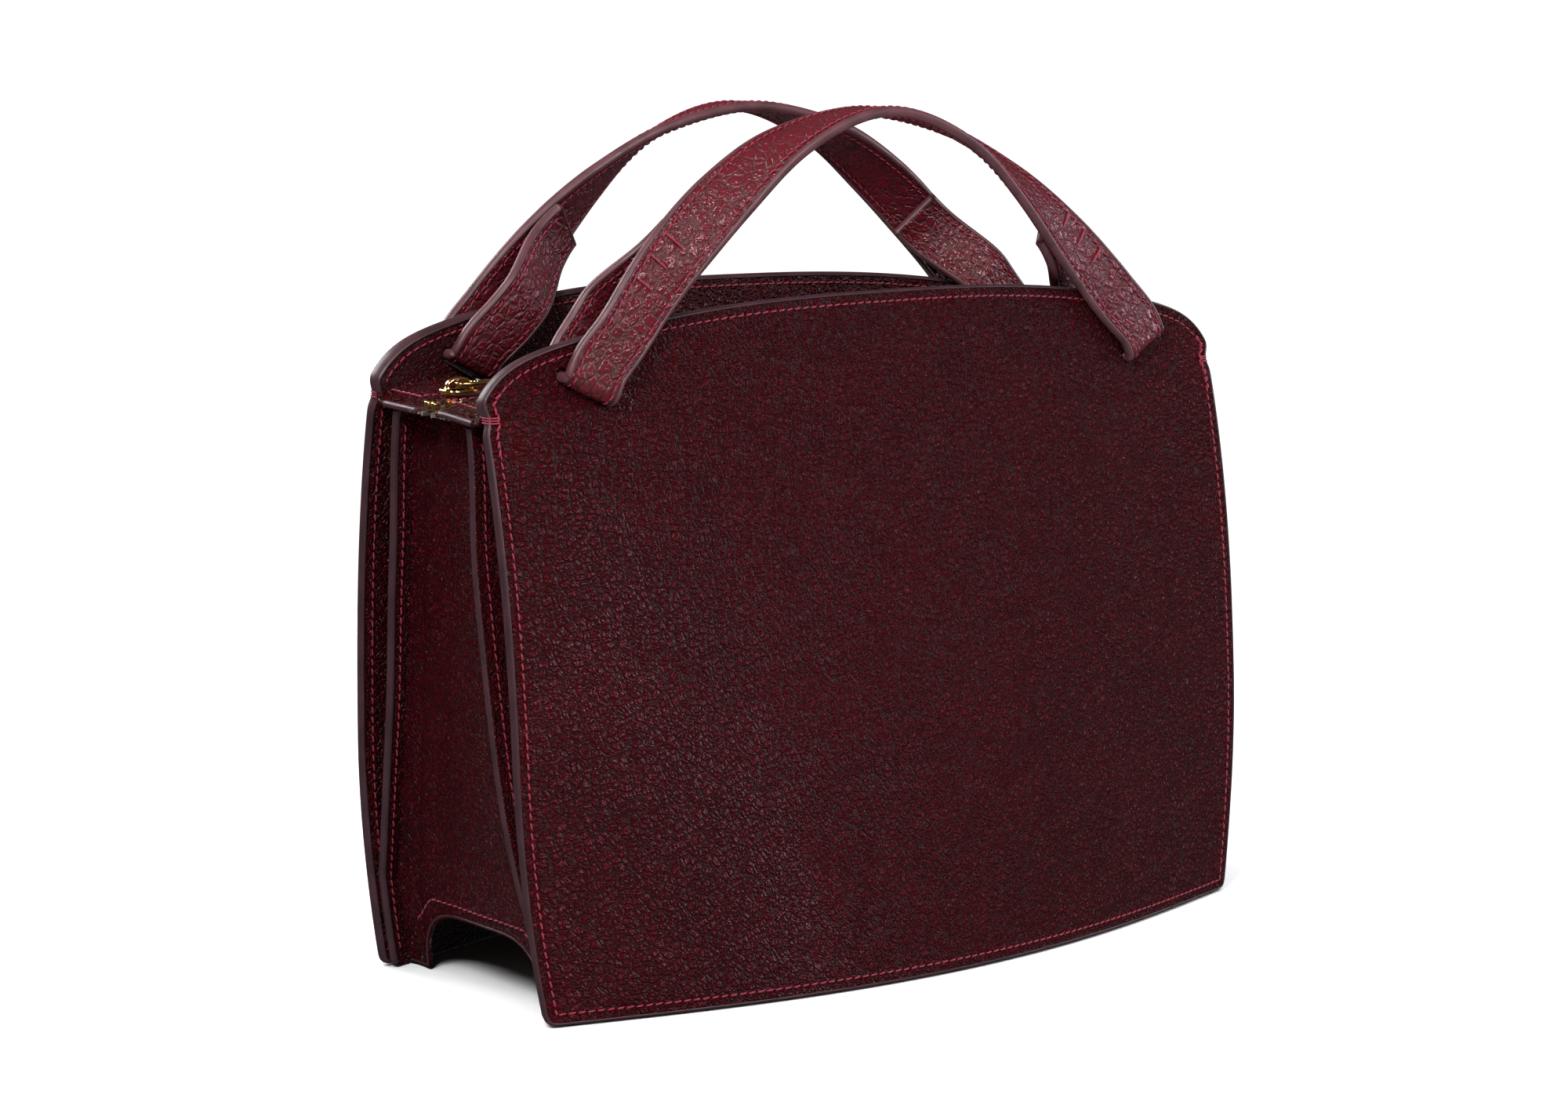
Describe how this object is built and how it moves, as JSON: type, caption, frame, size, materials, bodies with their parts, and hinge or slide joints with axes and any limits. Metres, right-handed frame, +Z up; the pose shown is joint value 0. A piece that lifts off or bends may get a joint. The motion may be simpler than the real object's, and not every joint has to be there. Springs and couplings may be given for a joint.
{
  "type": "satchel bag",
  "caption": "Structured leather satchel with bowed front and back faces, open side pockets, a zipped middle compartment and top handles threaded through slots in the faces.",
  "frame": {"origin": "on the ground under the middle of the bag", "axes": "+X to the right seen from the front, +Y from the front to the back, +Z up"},
  "size_m": [0.3294, 0.171, 0.3048],
  "materials": {
    "outer_leather": "pebbled oxblood leather, low sheen",
    "lining_leather": "smooth oxblood lining leather, matt",
    "handle_leather": "creased oxblood leather with painted edges",
    "compartment_fabric": "plain woven cotton lining",
    "zip_tape": "woven brown tape",
    "board": "pressed fibre board",
    "gold_hardware": "polished gold plate"
  },
  "bodies": {
    "body": {"back_outer_panel": "outer_leather", "back_panel_lining": "lining_leather", "back_zip_facing": "outer_leather", "back_inner_panel": "outer_leather", "back_compartment_lining": "compartment_fabric", "back_zip_tape": "zip_tape", "back_zip_teeth": "gold_hardware", "back_zip_top_stop": "gold_hardware", "left_gusset": "outer_leather", "right_gusset": "outer_leather", "bottom_panel": "outer_leather", "base_board": "board", "slip_pocket": "compartment_fabric", "zip_bottom_stop": "gold_hardware"},
    "front_half": {"front_outer_panel": "outer_leather", "front_panel_lining": "lining_leather", "front_zip_facing": "outer_leather", "front_inner_panel": "outer_leather", "front_compartment_lining": "compartment_fabric", "front_zip_tape": "zip_tape", "front_zip_teeth": "gold_hardware", "front_zip_top_stop": "gold_hardware"},
    "slider": {"zip_slider": "gold_hardware"},
    "puller": {"zip_puller": "gold_hardware"},
    "front_handle": {"front_handle_strap": "handle_leather", "front_handle_lining": "handle_leather"},
    "back_handle": {"back_handle_strap": "handle_leather", "back_handle_lining": "handle_leather"}
  },
  "joints": [
    {"name": "mouth_open", "type": "hinge", "parent": "body", "child": "front_half", "pos_m": [0, -0.0855, 0], "axis": [1, 0, 0], "range_deg": [0, 8]},
    {"name": "zip_slide", "type": "slide", "parent": "body", "child": "slider", "axis": [1, 0, 0], "range_m": [0, 0.293]},
    {"name": "puller_swing", "type": "hinge", "parent": "slider", "child": "puller", "pos_m": [-0.151, 0, 0.2119], "axis": [0, -1, 0], "range_deg": [0, 170]},
    {"name": "front_handle_tilt", "type": "hinge", "parent": "front_half", "child": "front_handle", "pos_m": [0, -0.038, 0.2135], "axis": [1, 0, 0], "range_deg": [-1.5, 8]},
    {"name": "back_handle_tilt", "type": "hinge", "parent": "body", "child": "back_handle", "pos_m": [0, 0.038, 0.2135], "axis": [-1, 0, 0], "range_deg": [-1.5, 8]}
  ],
  "couplings": [
    {"joint": "zip_slide", "follows": "mouth_open", "m_per_rad": 2.1}
  ]
}
